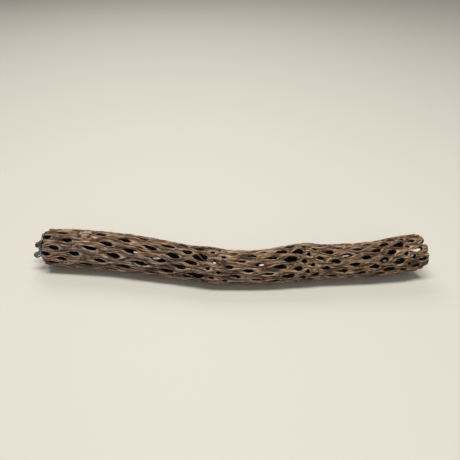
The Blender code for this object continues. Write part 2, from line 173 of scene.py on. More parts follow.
# Furrows along the grain: spacing, depth, sharpness, place in the noise, and how soon they end inside
RIDGE_GAIN = 3.0
BROAD_SPACING, BROAD_DEPTH = 2.1, 0.95
BROAD_SHARPNESS, BROAD_SHIFT = 0.6, (3.0, 2.1, 0.9)
FINE_SPACING, FINE_DEPTH = 0.95, 0.35
FINE_SHARPNESS, FINE_SHIFT = 0.7, (11.0, 7.7, 3.3)
FINE_STRETCH = (2, 1, 1)
BROAD_SHARE = 0.75
INSIDE_FADE = 1.4

# The slow swelling of the wood, the share of it that reaches the bore, and how far the outside is lifted
SWELL_SPACING, SWELL_HEIGHT = 6.0, 0.45
SWELL_SHIFT = (5, 2, 9)
SWELL_INSIDE = 0.4
SURFACE_LIFT = 0.3

# How far the log stays inside its solid's box
BOX_MARGIN = 0.002

# The knot's rings from its edge to its middle: share of the hole that it fills, and depth
KNOT_RINGS = ((0.95, 1.7), (0.78, 1.6), (0.64, 0.5), (0.4, 0.3), (0.2, 0.25))

# The knot's slant, how closely its groove keeps to its ends, the share of depth beside them, and how
# deep a ring lies that belongs to the groove
KNOT_SLOPE = 0.25
KNOT_SHARPNESS = 3
KNOT_SIDE_DEPTH = 0.35
KNOT_GROOVE_FROM = 1.0

# Small marks in the wood: place along the log, angle round it, radius, strength and colour
PALE_WOOD = (0.80, 0.60, 0.44)
SLIT_SHADE = (0.03, 0.015, 0.01)
BUD_MARKS = (
    (24.5, -1, 4.0, 0.85, (0.30, 0.135, 0.055)), (24.5, -1, 1.4, 0.9, (0.75, 0.46, 0.28)),
)
KNOT_MARKS = (
    (50.5, 97, 2.8, 0.5, PALE_WOOD), (54, 99, 3.0, 0.5, PALE_WOOD), (58, 101, 2.8, 0.55, PALE_WOOD),
    (50, 80, 3.3, 1.0, SLIT_SHADE), (59.8, 79, 2.9, 1.0, SLIT_SHADE),
)

# The share of a mark's radius in which it has its full strength
MARK_CORE = 0.4

# The break that shortens the right end at its lower front: where its plane meets the axis, and its lean
BREAK_START = 5.0
BREAK_LEAN = (-0.23, -0.65)

# Thin strands across holes: number, two points on the lip as angles round it, depth, thickness
BRIDGES = ((50, 118, -38, 0.8, 0.6), (199, 140, -150, 0.2, 0.7))

# How far beyond the lip these strands begin, the points along them, and how they sag and bend
BRIDGE_REACH = 1.12
BRIDGE_POINTS = 9
BRIDGE_SAG = 0.5
BRIDGE_BEND = 0.4

# A tangle of threads in one hole: the least and most of their sweep round it, size, depth and thickness
TANGLE_HOLE = 199
TANGLE_THREADS = 2
TANGLE_SWEEP = (120, 300)
TANGLE_SIZE = (0.55, 0.9)
TANGLE_DEPTH = (0.4, 1.4)
TANGLE_THICKNESS = (0.4, 0.8)
TANGLE_POINTS = 14
TANGLE_WAVE = 0.5

# The form of every thin strand: thinner in its middle, and coloured as wood near a lip, with part of the
# painted rim highlight and of the painted inner shade
STRAND_SIDES = 8
STRAND_MIDDLE = 0.75
STRAND_FLARE = 0.35
STRAND_ACROSS = (0.3, 0.4, 1)
STRAND_EDGE = 0.7
STRAND_INSIDE = 0.12

# Creases sharper than this stay sharp, in degrees
SHARP_METAL = 40
SHARP_WOOD = 70

# The fitting: the gap between its pieces, and their sizes, measured along the bolt from the log's end
GAP = 0.3
BOLT_RISE = 1.5
BOLT_RADIUS = 3.0
BOLT_OUT = 14.5
BOLT_IN = 24.0
BOLT_SIDES = 48
THREAD_PITCH = 1.0
THREAD_DEPTH = 0.5
THREAD_ROWS = 8
THREAD_GAIN = 1.5
THREAD_CREST = 0.2
TIP_LENGTH = 0.9
TIP_SLOPE = 0.8
WASHER_RADIUS = 14.92
WASHER_THICK = 1.5
WASHER_ROUNDING = 0.35
WASHER_ARC = (0, 30, 60, 90)
NUT_HEIGHT = 6.4
NUT_RADII = (6.2, 4.9)
NUT_CHAMFER = 0.6
WING_SPAN = 15.2
WING_THICK = 2.2
WING_TILT = -18
EAR_RADIUS = 3.4
EAR_RISE = 4.9
EAR_ARC = range(-90, 181, 15)
WING_FOOT = (4.2, 0.8)
WING_TOP = (3.8, 5.8)
CAST_VOXEL = 0.22
CAST_SMOOTHING = 5
PLUG_RADIUS = 11.35
PLUG_LENGTH = 28.0
PLUG_CHAMFER = 0.6
PLUG_EDGE = 0.2
TURN_SIDES = 96

# Colours of the wood along the streaks of its grain, from dark to pale
TAN_STREAKS = (
    (0.36, (0.055, 0.028, 0.014)), (0.46, (0.215, 0.120, 0.060)), (0.55, (0.41, 0.255, 0.140)),
    (0.65, (0.74, 0.52, 0.33)),
)
GREY_STREAKS = (
    (0.36, (0.055, 0.033, 0.024)), (0.45, (0.200, 0.127, 0.096)), (0.54, (0.37, 0.25, 0.19)),
    (0.65, (0.72, 0.54, 0.43)),
)
KNOT_STREAKS = ((0.35, (0.24, 0.145, 0.105)), (0.65, (0.42, 0.275, 0.20)))
SAWN_STREAKS = ((0.35, (0.09, 0.055, 0.032)), (0.65, (0.26, 0.175, 0.11)))
# The plug's streaks are near black: painted shade, as it sits deep in the bore
PLUG_SHADE_STREAKS = ((0.35, (0.014, 0.009, 0.006)), (0.65, (0.045, 0.028, 0.018)))

# Colours laid over the streaks: stains, a painted highlight on the rims of the holes, and painted shade in
# cracks, in furrows and inside
STAIN_COLOUR = (0.095, 0.062, 0.045)
RIM_HIGHLIGHT_COLOUR = (0.52, 0.385, 0.275)
CRACK_SHADE_COLOUR = (0.045, 0.026, 0.017)
FURROW_SHADE_COLOUR = (0.040, 0.023, 0.015)
INNER_SHADE_COLOUR = (0.016, 0.010, 0.007)

# How much of each colour shows, along the measure that decides it
GREY_SHARE = ((0.45, 0.0), (0.95, 1.0))
STAIN_SHARE = ((0.50, 0.0), (0.68, 0.55))
RIM_HIGHLIGHT_SHARE = ((0.45, 0.0), (0.78, 0.7), (0.94, 0.5), (1.0, 0.0))
CRACK_SHADE_SHARE = ((0.0, 0.9), (0.05, 0.0))
FURROW_SHADE_SHARE = ((0.28, 0.0), (0.70, 0.93))
INNER_SHADE_SHARE = ((0.02, 0.0), (0.30, 1.0))

# The grey lies more to the left and lower down: what a metre adds to its measure, and a start. Lower down
# the grey is painted shade, and the top stays tan and brighter as painted light from above
GREY_ALONG = (-2.6, 0.28)
GREY_UP_PAINTED_LIGHT = (-34.0, 0.75)

# The steel of the fitting: colour and roughness, and how its grime changes both. The second, near-black
# steel of the inner washer is painted shade
DULL_STEEL = ((0.25, 0.245, 0.24), 0.27)
SHADED_STEEL = ((0.020, 0.018, 0.017), 0.50)
GRIME_STOPS = (0.35, 0.6)
GRIME_SHADE = 0.55
GRIME_ROUGHNESS = 0.3

# The floor and the light, in metres and watts. Lamps: name, place, aim, width and depth, power, colour
FLOOR_HALF_WIDTH = 4
FLOOR_COLOUR = (0.725, 0.70, 0.63, 1)
ROOM_COLOUR = (1.0, 0.96, 0.90, 1)
ROOM_STRENGTH = 0.22
LAMPS = (
    ("ceiling_light", (0.0, -0.10, 1.5), (0, 0, 0), (1.1, 0.3), 17.5, (1.0, 0.98, 0.95)),
    ("back_light", (-0.3, 1.1, 1.2), (0, 0, 0), (0.9, 0.7), 6.0, (1.0, 0.98, 0.95)),
    ("front_light", (0.2, -1.6, 0.55), (0, 0, 0.02), (1.0, 1.0), 4.0, (1.0, 0.97, 0.93)),
)

# The camera, in the frame of the log's axis table, with its focal length and its picture in pixels
CAMERA_PLACE = (1.5, -364.6, 309.0)
CAMERA_PITCH = 35.4
FOCAL_PIXELS = 460
FRAME_PIXELS = 460
SENSOR_WIDTH = 36
CLIP_START = 0.01


def smooth(x, table, column):
    """Read one column of a table at x, along a smooth curve through its rows."""
    rows = np.array(table, float)
    xs, ys = rows[:, 0], rows[:, column]
    slopes = np.gradient(ys, xs)
    x = np.clip(x, xs[0], xs[-1])
    k = np.clip(np.searchsorted(xs, x) - 1, 0, len(xs) - 2)
    width = xs[k + 1] - xs[k]
    t = (x - xs[k]) / width
    rise = ys[k + 1] - ys[k]
    start = width * slopes[k]
    finish = width * slopes[k + 1]
    return ys[k] + t * (start + t * (3 * rise - 2 * start - finish + t * (start + finish - 2 * rise)))


class Log:
    """The log's bent axis, measured by the distance s along it."""

    def __init__(self):
        xs = np.arange(AXIS[0][0], AXIS[-1][0] + AXIS_STEP, AXIS_STEP)
        self.points = np.stack([xs, smooth(xs, AXIS, 1), smooth(xs, AXIS, 2)], axis=1)
        self.radii = smooth(xs, AXIS, 3)
        steps = np.linalg.norm(np.diff(self.points, axis=0), axis=1)
        length = np.concatenate([[0], np.cumsum(steps)])
        self.s = length - np.interp(START_X, xs, length)
        self.tangents = np.gradient(self.points, self.s, axis=0)
        self.shift = self.find_shift()
        self.points = self.points + self.shift

    def find_shift(self):
        """How far the solids lie from the axis table's own frame: seen where the inner washer lies."""
        low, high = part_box("washer_inner")
        middle, along, _, top = self.frame(np.array([float(LEFT_END)]))
        seat = middle[0] + top[0] * BOLT_RISE - along[0] * (GAP + WASHER_THICK / 2)
        return np.array((low + high) / 2) / MM - seat

    def read(self, values, s):
        """Values given along the axis, such as its points, read at s."""
        return np.stack([np.interp(s, self.s, values[:, i]) for i in range(3)], axis=-1)

    def radius(self, s):
        return np.interp(s, self.s, self.radii)

    def frame(self, s):
        """The middle of the log at s, and the directions along it, to its front and to its top."""
        along = self.read(self.tangents, s)
        along /= np.linalg.norm(along, axis=-1, keepdims=True)
        front = np.cross(along, (0, 0, 1))
        front /= np.linalg.norm(front, axis=-1, keepdims=True)
        return self.read(self.points, s), along, front, np.cross(front, along)

    def outer_point(self, s, angle):
        """The point of the log's outside at s along it and at an angle from its front up."""
        middle, _, front, top = self.frame(np.array([s]))
        turn = math.radians(angle)
        return middle[0] + (front[0] * math.cos(turn) + top[0] * math.sin(turn)) * self.radius(s)

    def bend(self, straight):
        """Carry points of the straight log (x along it, -y to its front, z up) onto the bent one."""
        middle, _, front, top = self.frame(straight[:, 0])
        return middle - straight[:, 1:2] * front + straight[:, 2:3] * top


class Net:
    """The spiral of holes, and the strands between them."""

    def __init__(self, log):
        self.log = log
        self.first = HOLE_STATIONS[0][0]
        numbers = np.arange(self.first, HOLE_STATIONS[-1][0] + 1)
        rng = np.random.default_rng(SEED)
        self.scatter = rng.uniform(-1, 1, (len(numbers), DRAWS))
        kernel = np.array(STATION_SMOOTHING) / sum(STATION_SMOOTHING)
        place = smooth(numbers, HOLE_STATIONS, 1)
        place = np.pad(place, len(kernel) // 2, mode="reflect", reflect_type="odd")
        self.place = np.convolve(place, kernel, mode="valid")
        self.spacing = np.gradient(self.place)
        drift = np.interp(self.place, *np.array(ANGLE_DRIFT, float).T)
        self.angle = FIRST_ANGLE + GOLDEN_ANGLE * numbers + drift
        self.angle -= ANGLE_LEAN * (1 - np.sin(np.radians(self.angle)))
        self.size = np.ones((len(numbers), 2))
        for number, length, height, along, turn in ODD_HOLES:
            k = number - self.first
            self.size[k] = (length, height)
            self.place[k] += along
            self.angle[k] += turn

    def holes(self):
        """The holes whose cells reach the log between its ends."""
        numbers = range(self.first + NEXT_STEP, self.first + len(self.place) - NEXT_STEP)
        return [n for n in numbers if self.corner(n)[0] > LEFT_END - END_MARGIN
                and self.corner(n - NEXT_STEP)[0] < RIGHT_END + END_MARGIN]

    def hole(self, number, turns=0):
        """Where a hole lies: along the log, and round it less some whole turns."""
        k = number - self.first
        return np.array([self.place[k], self.angle[k] - 360 * turns])

    def corner(self, number):
        """The crossing of strands between four neighbouring holes."""
        around = ((0, 0), (UP_STEP, UP_TURNS), (DOWN_STEP, DOWN_TURNS), (NEXT_STEP, NEXT_TURNS))
        middle = np.mean([self.hole(number + step, turns) for step, turns in around], axis=0)
        return middle + self.scatter[number - self.first, :CORNER_DRAWS] * CORNER_SCATTER

    def steps(self, start, step):
        """How many pieces a strand is divided into, more where the holes lie further apart."""
        spacing = self.spacing[start + step // 2 - self.first]
        base, gain, fewest, most = DOWN_PIECES if step == DOWN_STEP else UP_PIECES
        return int(round(np.clip(base + gain * spacing, fewest, most)))


def cell_ring(net, number):
    """The keys, places and turns of the points round a hole's cell, anticlockwise from its left."""
    sides = (
        (number - NEXT_STEP, DOWN_STEP, NEXT_TURNS, False, -180, LOWER_CORNER),
        (number - UP_STEP, UP_STEP, UP_TURNS, False, LOWER_CORNER, 0),
        (number - DOWN_STEP, DOWN_STEP, DOWN_TURNS, True, 0, UPPER_CORNER),
        (number - NEXT_STEP, UP_STEP, NEXT_TURNS, True, UPPER_CORNER, 180),
    )
    ring = []
    for start, step, turns, backwards, turn_from, turn_to in sides:
        count = net.steps(start, step)
        a = net.corner(start) + (0, 360 * turns)
        turns_on = DOWN_TURNS if step == DOWN_STEP else UP_TURNS
        b = net.corner(start + step) + (0, 360 * (turns - turns_on))
        for j in range(count):
            i = count - j if backwards else j
            key = (start, step, i)
            if i == 0:
                key = (start, 0, 0)
            elif i == count:
                key = (start + step, 0, 0)
            turn = turn_from + (turn_to - turn_from) * j / count
            ring.append((key, a + (b - a) * i / count, turn))
    return ring


def hole_outline(net, number, angles, scale=1.0):
    """The teardrop edge of one hole, pointed at the left, at the given angles round it."""
    middle = net.hole(number)
    half_length, half_height, slant = (smooth(middle[0], HOLE_SIZES, i) for i in (1, 2, 3))
    scatter = net.scatter[number - net.first, CORNER_DRAWS:]
    length, height = net.size[number - net.first] * scale
    half_length *= length * (1 + SIZE_SCATTER * scatter[0])
    half_height *= height * (1 + SIZE_SCATTER * scatter[1])
    t = np.radians(angles)
    along = half_length * np.cos(t)
    up = half_height * HEIGHT_GAIN * np.sin(t) * np.abs(np.cos(t / 2)) ** TIP_SHARPNESS
    for waves, size in RAGGED_WAVES:
        up = up * (1 + size * np.sin(waves * t + waves * RAGGED_SHIFT * scatter[0]))
    slope = math.tan(math.radians(slant + SLANT_SCATTER * scatter[2]))
    turn = math.degrees(1) / net.log.radius(middle[0])
    return np.stack([middle[0] + along, middle[1] + (up + slope * along) * turn], axis=1)


class Flow:
    """The lines of the grain, which part round every hole as water round stones."""

    def __init__(self, net):
        numbers = range(net.first + FLOW_MARGIN, net.first + len(net.place) - FLOW_MARGIN)
        holes = np.array([net.hole(n) for n in numbers])
        self.place = holes[:, 0]
        self.angle = holes[:, 1]
        self.length = smooth(self.place, HOLE_SIZES, 1)
        self.height = smooth(self.place, HOLE_SIZES, 2)
        self.log = net.log

    def line(self, s, angle):
        """The angle round the log that each point's grain line would have with no holes in it."""
        lines = np.array(angle, float)
        for start in range(0, len(s), FLOW_CHUNK):
            part = slice(start, start + FLOW_CHUNK)
            ds = s[part, None] - self.place[None, :]
            turn = (angle[part, None] - self.angle[None, :] + 180) % 360 - 180
            radius = self.log.radius(s[part])[:, None]
            up = np.radians(turn) * radius
            near = np.hypot(ds * self.height / self.length, up)
            near = np.maximum(near, self.height)
            fade = np.exp(-((near / self.height - 1) / FLOW_REACH) ** 2)
            pull = (self.height / near) ** 2 * fade
            lines[part] -= np.degrees((up * pull).sum(axis=1) / radius[:, 0])
        return lines


def strip(bm, ring_a, ring_b):
    """Faces between two rings of points."""
    for i in range(len(ring_a)):
        j = (i + 1) % len(ring_a)
        bm.faces.new((ring_a[i], ring_a[j], ring_b[j], ring_b[i]))


def tube(bm, rings):
    """Faces between each ring of points and the next."""
    for ring_a, ring_b in zip(rings, rings[1:]):
        strip(bm, ring_a, ring_b)


def close_ends(bm, rings):
    """Faces over the first ring of a tube and over its last."""
    bm.faces.new(rings[0][::-1])
    bm.faces.new(rings[-1])


class Wood:
    """The log's mesh while it is built straight: x along it, -y to its front, z up."""

    # Shares that each point carries: near a lip, inside, in a furrow, in a groove, on the knot. The
    # material paints a highlight near a lip, and shade inside, in furrows and in grooves
    LAYERS = ("edge", "inside", "furrow", "tip", "knot")

    def __init__(self, log):
        self.log = log
        self.net = Net(log)
        self.bm = bmesh.new()
        self.layers = {name: self.bm.verts.layers.float.new(name) for name in self.LAYERS}
        self.grain = self.bm.verts.layers.float_vector.new("grain")
        self.shared = {}

    def point(self, s, angle, radius, **values):
        turn = math.radians(angle)
        vert = self.bm.verts.new((s, -radius * math.cos(turn), radius * math.sin(turn)))
        for name, value in values.items():
            vert[self.layers[name]] = value
        return vert

    def ring(self, places, radii, **values):
        """A ring of points. Radii and values are one number, or one for each point."""
        count = len(places)
        radii = np.broadcast_to(radii, count)
        columns = {name: np.broadcast_to(value, count) for name, value in values.items()}
        made = []
        for i, (s, angle) in enumerate(places):
            own = {name: column[i] for name, column in columns.items()}
            made.append(self.point(s, angle, radii[i], **own))
        return made

    def shared_point(self, key, place, inner):
        """A point on a crest, or under it in the bore, that the cells on both sides share."""
        name = (key, inner)
        if name not in self.shared:
            s, angle = place
            height = CORNER_WAVE if key[1] == 0 else STRAND_WAVE
            wave = self.net.scatter[key[0] - self.net.first, CREST_DRAW] * height
            radius = BORE_RADIUS if inner else self.log.radius(s) + wave
            self.shared[name] = self.point(s, angle, radius, inside=float(inner))
        return self.shared[name]

    def fan(self, ring, tip):
        """Faces from a ring of points to one point."""
        for i in range(len(ring)):
            j = (i + 1) % len(ring)
            self.bm.faces.new((ring[i], ring[j], tip))

    def cell(self, number):
        """One hole and the halves of the strands round it, from their crests down to the bore."""
        ring = cell_ring(self.net, number)
        turns = np.array([turn for _, _, turn in ring])
        rim = np.array([place for _, place, _ in ring])
        crest = [self.shared_point(key, place, False) for key, place, _ in ring]
        bore = [self.shared_point(key, place, True) for key, place, _ in ring]
        left = np.maximum(0, -np.cos(np.radians(turns))) ** GROOVE_SHARPNESS
        right = np.maximum(0, np.cos(np.radians(turns))) ** GROOVE_SHARPNESS
        outline = hole_outline(self.net, number, turns)
        bands = [crest]
        for band in range(1, OUTER_BANDS + 1):
            t = (band / OUTER_BANDS) ** BAND_CROWDING
            places = rim + (outline - rim) * t
            fall = EDGE_DEPTH * t ** LIP_ROUNDING + left * LEFT_GROOVE * t + right * RIGHT_GROOVE * t
            radii = self.log.radius(places[:, 0]) - fall
            bands.append(self.ring(places, radii, edge=t, tip=t * t * left))
        if number == KNOT:
            self.knot(number, turns, bands, bore)
            return
        for depth, scale in WALL_RINGS:
            places = hole_outline(self.net, number, turns, scale)
            radii = self.log.radius(places[:, 0]) - depth - left * LEFT_GROOVE - right * RIGHT_GROOVE
            bands.append(self.ring(places, radii, edge=1.0, inside=depth / WALL_RINGS[-1][0]))
        places = hole_outline(self.net, number, turns, BORE_SCALE)
        bands.append(self.ring(places, BORE_RADIUS + BORE_SAG, inside=1.0))
        places = (rim + places) / 2
        bands.append(self.ring(places, BORE_RADIUS - BORE_SAG, inside=1.0))
        bands.append(bore)
        tube(self.bm, bands)

    def knot(self, number, turns, bands, bore):
        """Close a hole with a knot: a low swelling inside a groove, with a plain back."""
        middle = self.net.hole(number)
        radius = self.log.radius(middle[0])
        ends = np.abs(np.cos(np.radians(turns))) ** KNOT_SHARPNESS
        for share, depth in KNOT_RINGS:
            places = hole_outline(self.net, number, turns, share)
            rise = KNOT_SLOPE * (places[:, 0] - middle[0])
            places[:, 1] += rise * math.degrees(1) / radius
            fall = depth * (KNOT_SIDE_DEPTH + (1 - KNOT_SIDE_DEPTH) * ends)
            groove = ends if depth > KNOT_GROOVE_FROM else 0 * ends
            radii = self.log.radius(places[:, 0]) - fall
            bands.append(self.ring(places, radii, knot=1 - groove, tip=groove))
        tube(self.bm, bands)
        top = radius - KNOT_RINGS[-1][1]
        self.fan(bands[-1], self.point(middle[0], middle[1], top, knot=1.0))
        self.fan(bore[::-1], self.point(middle[0], middle[1], BORE_RADIUS, inside=1.0))

    def cut_ends(self):
        """Saw both ends off square, break off the lower front at the right, and close the cuts."""
        bm = self.bm
        planes = (
            ((LEFT_END, 0, 0), (-1, 0, 0)),
            ((RIGHT_END, 0, 0), (1, 0, 0)),
            ((RIGHT_END + BREAK_START, 0, 0), (1, *BREAK_LEAN)),
        )
        for place, normal in planes:
            normal = Vector(normal).normalized()
            whole = bm.verts[:] + bm.edges[:] + bm.faces[:]
            bmesh.ops.bisect_plane(
                bm, geom=whole, plane_co=place, plane_no=normal, clear_outer=True, dist=CUT_MERGE,
            )
            rims = [edge for edge in bm.edges if edge.is_boundary
                    and all(abs((vert.co - Vector(place)).dot(normal)) < CUT_NEAR for vert in edge.verts)]
            caps = bmesh.ops.edgeloop_fill(bm, edges=rims)["faces"]
            for face in caps:
                face.material_index = 1
            bmesh.ops.triangulate(bm, faces=caps)

    def furrow(self):
        """Furrow the surface along the grain, and keep the grain's own coordinates for the material."""
        flow = Flow(self.net)
        verts = self.bm.verts[:]
        place = np.array([vert.co[:] for vert in verts])
        radii = np.hypot(place[:, 1], place[:, 2])
        angles = np.degrees(np.arctan2(place[:, 2], -place[:, 1]))
        lines = np.radians(flow.line(place[:, 0], angles))
        grain = np.stack(
            [place[:, 0] * GRAIN_STRETCH, -radii * np.cos(lines), radii * np.sin(lines)], axis=1,
        )
        inside, furrow, tip = self.layers["inside"], self.layers["furrow"], self.layers["tip"]
        for vert, g, radius, angle in zip(verts, grain, radii, angles):
            outer = 1 - min(1.0, vert[inside] * INSIDE_FADE)
            broad = ridge(g / BROAD_SPACING, BROAD_SHIFT)
            fine = ridge(g * FINE_STRETCH / FINE_SPACING, FINE_SHIFT)
            unstretched = Vector((g[0] / GRAIN_STRETCH, g[1], g[2]))
            swell = noise.noise(unstretched / SWELL_SPACING + Vector(SWELL_SHIFT))
            swelling = SWELL_INSIDE + (1 - SWELL_INSIDE) * outer
            change = BROAD_DEPTH * (broad ** BROAD_SHARPNESS - 1)
            change += FINE_DEPTH * (fine ** FINE_SHARPNESS - 1)
            change = outer * (change + SURFACE_LIFT) + swelling * SWELL_HEIGHT * swell
            turn = math.radians(angle)
            vert.co.y = -(radius + change) * math.cos(turn)
            vert.co.z = (radius + change) * math.sin(turn)
            vert[self.grain] = Vector(g) * MM
            # The furrow share tells the material where to paint shade: between ridges and in the grooves
            height = BROAD_SHARE * broad + (1 - BROAD_SHARE) * fine
            vert[furrow] = outer * max(vert[tip], 1 - height)

    def strand(self, path, thickness):
        """A thin fibre along places given as (s, angle, radius), thickest at both ends."""
        turns = np.radians([angle for _, angle, _ in path])
        radii = np.array([radius for _, _, radius in path])
        along = [s for s, _, _ in path]
        points = np.stack([along, -radii * np.cos(turns), radii * np.sin(turns)], axis=1)
        last = len(points) - 1
        rings = []
        for i, middle in enumerate(points):
            ahead = Vector(points[min(i + 1, last)] - points[max(i - 1, 0)]).normalized()
            side = ahead.cross(Vector(STRAND_ACROSS)).normalized()
            third = ahead.cross(side)
            size = thickness / 2 * (STRAND_MIDDLE + STRAND_FLARE * abs(2 * i / last - 1))
            ring = []
            for k in range(STRAND_SIDES):
                turn = 2 * math.pi * k / STRAND_SIDES
                out = side * math.cos(turn) + third * math.sin(turn)
                vert = self.bm.verts.new(Vector(middle) + out * size)
                vert[self.layers["edge"]] = STRAND_EDGE
                vert[self.layers["inside"]] = STRAND_INSIDE
                vert[self.grain] = Vector((middle[0] * GRAIN_STRETCH, vert.co.y, vert.co.z)) * MM
                ring.append(vert)
            rings.append(ring)
        tube(self.bm, rings)
        close_ends(self.bm, rings)

    def bridges(self):
        """Strands that cross a few holes from lip to lip, and a tangle of fibres in one."""
        for number, start, finish, depth, thickness in BRIDGES:
            ends = hole_outline(self.net, number, np.array([start, finish]), BRIDGE_REACH)
            path = []
            for t in np.linspace(0, 1, BRIDGE_POINTS):
                s, angle = ends[0] + (ends[1] - ends[0]) * t
                sag = depth + BRIDGE_SAG * math.sin(math.pi * t)
                bend = BRIDGE_BEND * math.sin(2 * math.pi * t)
                path.append((s + bend, angle, self.log.radius(s) - sag))
            self.strand(path, thickness)
        rng = np.random.default_rng(SEED + 1)
        for _ in range(TANGLE_THREADS):
            turn = rng.uniform(0, 360)
            sweep = rng.uniform(*TANGLE_SWEEP)
            size = rng.uniform(*TANGLE_SIZE)
            depth = rng.uniform(*TANGLE_DEPTH)
            angles = np.linspace(turn, turn + sweep, TANGLE_POINTS)
            path = []
            for i, (s, angle) in enumerate(hole_outline(self.net, TANGLE_HOLE, angles, size)):
                path.append((s, angle, self.log.radius(s) - depth - TANGLE_WAVE * math.sin(i)))
            self.strand(path, rng.uniform(*TANGLE_THICKNESS))


def ridge(place, shift):
    """Rounded ridges with sharp furrows between them, from 0 in a furrow to 1."""
    return min(1.0, abs(noise.noise(Vector(place) + Vector(shift))) * RIDGE_GAIN)


def finish_mesh(name, bm, matrix=None):
    """Turn a bmesh in millimetres into an object in metres at the origin."""
    if matrix is not None:
        bmesh.ops.transform(bm, matrix=matrix, verts=bm.verts)
    bmesh.ops.scale(bm, vec=(MM, MM, MM), verts=bm.verts)
    bmesh.ops.recalc_face_normals(bm, faces=bm.faces)
    mesh = bpy.data.meshes.new(name)
    bm.to_mesh(mesh)
    bm.free()
    made = bpy.data.objects.new(name, mesh)
    bpy.context.scene.collection.objects.link(made)
    return made


def dress(piece, body, node, materials, sharp=SHARP_METAL):
    """Give a piece its materials and smooth shading, hang it on its body, and hide the solid that it
    replaces.
    """
    piece.data.shade_smooth()
    piece.data.set_sharp_from_angle(angle=math.radians(sharp))
    for made in materials:
        piece.data.materials.append(made)
    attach(piece, body)
    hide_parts(node)


def build_wood(log):
    """The log: built straight, then bent along its axis and kept inside its solid's box."""
    wood = Wood(log)
    for number in wood.net.holes():
        wood.cell(number)
    wood.cut_ends()
    wood.furrow()
    wood.bridges()
    low, high = (np.array(corner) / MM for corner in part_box("cholla_wood"))
    bent = log.bend(np.array([vert.co[:] for vert in wood.bm.verts]))
    for vert, place in zip(wood.bm.verts, np.clip(bent, low + BOX_MARGIN, high - BOX_MARGIN)):
        vert.co = place
    piece = finish_mesh("cholla_log", wood.bm)
    dress(piece, "log", "cholla_wood", (wood_material(log), cut_material()), SHARP_WOOD)


def rings_mesh(rings, closed=False):
    """A mesh from rings of points, joined in order: the last to the first, or closed at both ends."""
    bm = bmesh.new()
    made = [[bm.verts.new(point) for point in ring] for ring in rings]
    if closed:
        tube(bm, made + made[:1])
    else:
        tube(bm, made)
        close_ends(bm, made)
    return bm


def circle(radius, height):
    """The points of a ring round the bolt's line."""
    turns = [2 * math.pi * i / TURN_SIDES for i in range(TURN_SIDES)]
    return [(radius * math.cos(turn), radius * math.sin(turn), height) for turn in turns]


def bolt_mesh():
    """The bolt with its right-hand thread, tapered at the free end."""
    rows = int((BOLT_OUT + BOLT_IN) / THREAD_PITCH * THREAD_ROWS)
    rings = []
    for row in range(rows + 1):
        height = -BOLT_IN + (BOLT_OUT + BOLT_IN) * row / rows
        ring = []
        for i in range(BOLT_SIDES):
            share = i / BOLT_SIDES
            phase = (height / THREAD_PITCH - share) % 1.0
            groove = min(1.0, max(0.0, (1 - abs(2 * phase - 1)) * THREAD_GAIN - THREAD_CREST))
            radius = BOLT_RADIUS - THREAD_DEPTH * groove
            taper = BOLT_RADIUS - TIP_SLOPE * max(0.0, height - BOLT_OUT + TIP_LENGTH)
            radius = min(radius, taper)
            turn = 2 * math.pi * share
            ring.append((radius * math.cos(turn), radius * math.sin(turn), height))
        rings.append(ring)
    return rings_mesh(rings)


def washer_mesh(low):
    """A pressed washer, rounded at its rim and round its hole."""
    hole = BOLT_RADIUS + GAP
    section = []
    for middle_r, middle_z, start in (
        (WASHER_RADIUS - WASHER_ROUNDING, low + WASHER_ROUNDING, -90),
        (WASHER_RADIUS - WASHER_ROUNDING, low + WASHER_THICK - WASHER_ROUNDING, 0),
        (hole + WASHER_ROUNDING, low + WASHER_THICK - WASHER_ROUNDING, 90),
        (hole + WASHER_ROUNDING, low + WASHER_ROUNDING, 180),
    ):
        for degrees in WASHER_ARC:
            turn = math.radians(start + degrees)
            radius = middle_r + WASHER_ROUNDING * math.cos(turn)
            section.append((radius, middle_z + WASHER_ROUNDING * math.sin(turn)))
    return rings_mesh([circle(radius, height) for radius, height in section], closed=True)


def wing_outline():
    """One wing, seen flat: out from the hub, round its ear, and back."""
    middle = WING_SPAN - EAR_RADIUS
    points = [WING_FOOT]
    for degrees in EAR_ARC:
        turn = math.radians(degrees)
        points.append((middle + EAR_RADIUS * math.cos(turn), EAR_RISE + EAR_RADIUS * math.sin(turn)))
    points.append(WING_TOP)
    return points


def cast_nut(matrix):
    """The wing nut: hub and wings run together as in a casting."""
    hole = BOLT_RADIUS + GAP
    section = (
        (NUT_RADII[1], NUT_HEIGHT), (NUT_RADII[0], NUT_CHAMFER), (NUT_RADII[0] - NUT_CHAMFER, 0),
        (hole, 0), (hole, NUT_HEIGHT),
    )
    bm = rings_mesh([circle(radius, height) for radius, height in section], closed=True)
    for side in (1, -1):
        flats = []
        for y in (-WING_THICK / 2, WING_THICK / 2):
            flats.append([bm.verts.new((side * x, y, z)) for x, z in wing_outline()])
        tube(bm, flats)
        close_ends(bm, flats)
    seat = Matrix.Translation((0, 0, 3 * GAP + 2 * WASHER_THICK))
    piece = finish_mesh("wing_nut_cast", bm, matrix @ seat)
    cast = piece.modifiers.new("cast", "REMESH")
    cast.mode = "VOXEL"
    cast.voxel_size = CAST_VOXEL * MM
    soften = piece.modifiers.new("soften", "SMOOTH")
    soften.iterations = CAST_SMOOTHING
    graph = bpy.context.evaluated_depsgraph_get()
    rough = piece.data
    piece.data = bpy.data.meshes.new_from_object(piece.evaluated_get(graph))
    piece.modifiers.clear()
    bpy.data.meshes.remove(rough)
    return piece


